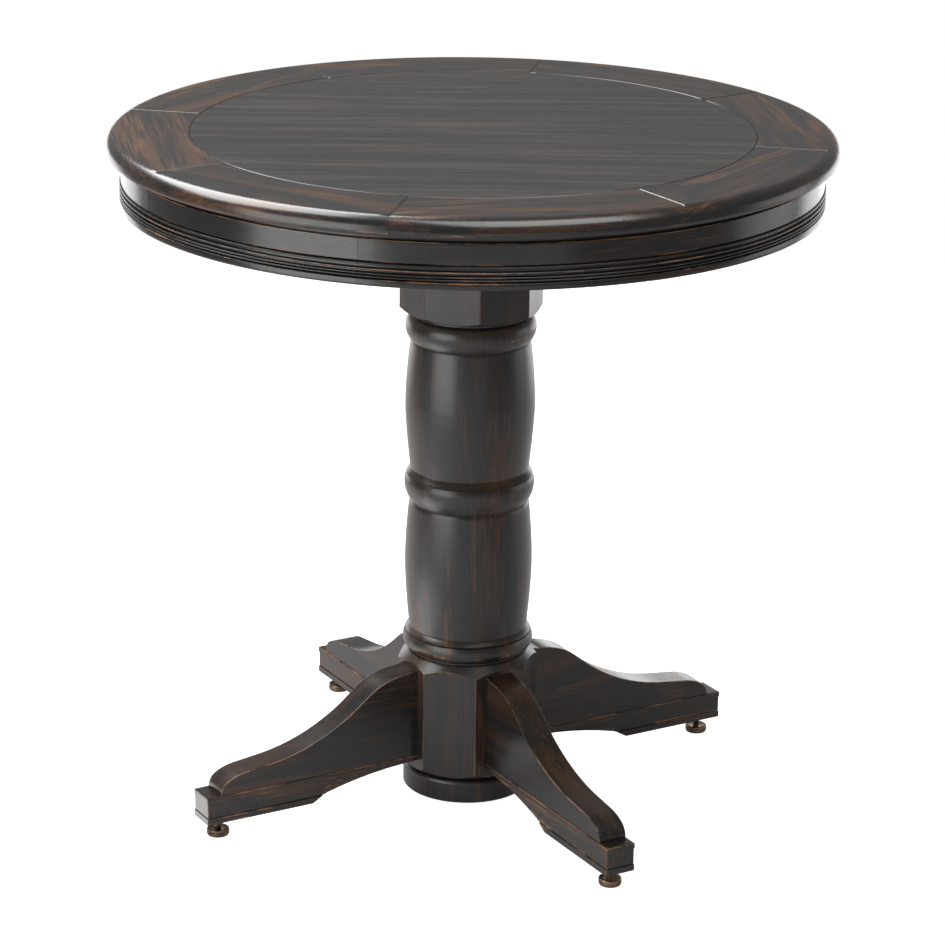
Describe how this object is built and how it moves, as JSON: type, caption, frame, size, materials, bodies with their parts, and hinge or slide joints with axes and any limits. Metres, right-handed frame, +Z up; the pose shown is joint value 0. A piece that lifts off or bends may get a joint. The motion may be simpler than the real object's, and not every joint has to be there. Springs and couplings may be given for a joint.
{
  "type": "gaming table",
  "caption": "Round pedestal gaming table in worn black lacquer: lift-off bullnosed top over a recessed cloth play bed, reeded apron, turned octagonal post, bracketed legs on screw levellers.",
  "frame": {"origin": "on the floor, on the axis of the post, midway between the four levellers", "axes": "+Z up through the post and the top, -Y towards the face of the post that lies between legs 1 and 4, the legs on the diagonals"},
  "size_m": [1.0668, 1.0668, 1.0272],
  "materials": {
    "top_panel": "black-brown lacquer, rubbed through along the grain, satin",
    "top_border": "black-brown lacquer, rubbed through at the joints and edges, satin",
    "apron": "black-brown lacquer, orange-brown wear on the reeds, satin",
    "post": "black-brown lacquer, brown streaks, wear on the rings and arrises, satin",
    "legs": "black-brown lacquer with long brown grain, worn arrises, satin",
    "bare_hardwood": "sanded, oiled",
    "plywood": "sanded birch plywood",
    "playing_cloth": "napped woollen playing cloth",
    "black_rubber": "matt",
    "antique_bronze": "antique bronze, brushed",
    "zinc_steel": "zinc plated"
  },
  "bodies": {
    "base": {"apron_segment_1": "apron", "apron_segment_2": "apron", "apron_segment_3": "apron", "apron_segment_4": "apron", "apron_segment_5": "apron", "apron_segment_6": "apron", "apron_segment_7": "apron", "apron_segment_8": "apron", "apron_splines": "bare_hardwood", "top_bumpers": "black_rubber", "ledge_blocks": "bare_hardwood", "ledge_screws": "zinc_steel", "bed_panel": "plywood", "playing_cloth": "playing_cloth", "cross_rail_long": "bare_hardwood", "cross_rail_lapped": "bare_hardwood", "mounting_plate": "bare_hardwood", "plate_screws": "zinc_steel", "plate_bolts": "zinc_steel", "post_stave_1": "post", "post_stave_2": "post", "post_stave_3": "post", "post_stave_4": "post", "post_stave_5": "post", "post_stave_6": "post", "post_stave_7": "post", "post_stave_8": "post", "leg_rail_1": "legs", "leg_rail_2": "legs", "leg_rail_3": "legs", "leg_rail_4": "legs", "leg_bracket_1": "legs", "leg_bracket_2": "legs", "leg_bracket_3": "legs", "leg_bracket_4": "legs", "leg_bolts": "zinc_steel", "leg_nuts": "zinc_steel", "rail_screws": "zinc_steel", "leveller_inserts": "zinc_steel"},
    "topper": {"centre_panel": "top_panel", "border_segment_1": "top_border", "border_segment_2": "top_border", "border_segment_3": "top_border", "border_segment_4": "top_border", "border_segment_5": "top_border", "border_segment_6": "top_border", "border_segment_7": "top_border", "border_segment_8": "top_border", "border_splines": "bare_hardwood", "locating_cleats": "bare_hardwood", "cleat_screws": "zinc_steel"},
    "leveller_1_foot": {"leveller_pad_1": "black_rubber"},
    "leveller_1_screw": {"leveller_stud_1": "antique_bronze"},
    "leveller_2_foot": {"leveller_pad_2": "black_rubber"},
    "leveller_2_screw": {"leveller_stud_2": "antique_bronze"},
    "leveller_3_foot": {"leveller_pad_3": "black_rubber"},
    "leveller_3_screw": {"leveller_stud_3": "antique_bronze"},
    "leveller_4_foot": {"leveller_pad_4": "black_rubber"},
    "leveller_4_screw": {"leveller_stud_4": "antique_bronze"}
  },
  "joints": [
    {"name": "top_lift", "type": "slide", "parent": "base", "child": "topper", "axis": [0, 0, 1], "range_m": [0, 0.15]},
    {"name": "leveller_1_travel", "type": "slide", "parent": "base", "child": "leveller_1_foot", "axis": [0, 0, -1], "range_m": [-0.002, 0.012]},
    {"name": "leveller_1_turn", "type": "hinge", "parent": "leveller_1_foot", "child": "leveller_1_screw", "pos_m": [0.29981, -0.29981, 0.01], "axis": [0, 0, -1], "range_deg": [-481, 2881]},
    {"name": "leveller_2_travel", "type": "slide", "parent": "base", "child": "leveller_2_foot", "axis": [0, 0, -1], "range_m": [-0.002, 0.012]},
    {"name": "leveller_2_turn", "type": "hinge", "parent": "leveller_2_foot", "child": "leveller_2_screw", "pos_m": [0.29981, 0.29981, 0.01], "axis": [0, 0, -1], "range_deg": [-481, 2881]},
    {"name": "leveller_3_travel", "type": "slide", "parent": "base", "child": "leveller_3_foot", "axis": [0, 0, -1], "range_m": [-0.002, 0.012]},
    {"name": "leveller_3_turn", "type": "hinge", "parent": "leveller_3_foot", "child": "leveller_3_screw", "pos_m": [-0.29981, 0.29981, 0.01], "axis": [0, 0, -1], "range_deg": [-481, 2881]},
    {"name": "leveller_4_travel", "type": "slide", "parent": "base", "child": "leveller_4_foot", "axis": [0, 0, -1], "range_m": [-0.002, 0.012]},
    {"name": "leveller_4_turn", "type": "hinge", "parent": "leveller_4_foot", "child": "leveller_4_screw", "pos_m": [-0.29981, -0.29981, 0.01], "axis": [0, 0, -1], "range_deg": [-481, 2881]}
  ],
  "couplings": [
    {"joint": "leveller_1_turn", "follows": "leveller_1_travel", "rad_per_m": 4188.8},
    {"joint": "leveller_2_turn", "follows": "leveller_2_travel", "rad_per_m": 4188.8},
    {"joint": "leveller_3_turn", "follows": "leveller_3_travel", "rad_per_m": 4188.8},
    {"joint": "leveller_4_turn", "follows": "leveller_4_travel", "rad_per_m": 4188.8}
  ]
}
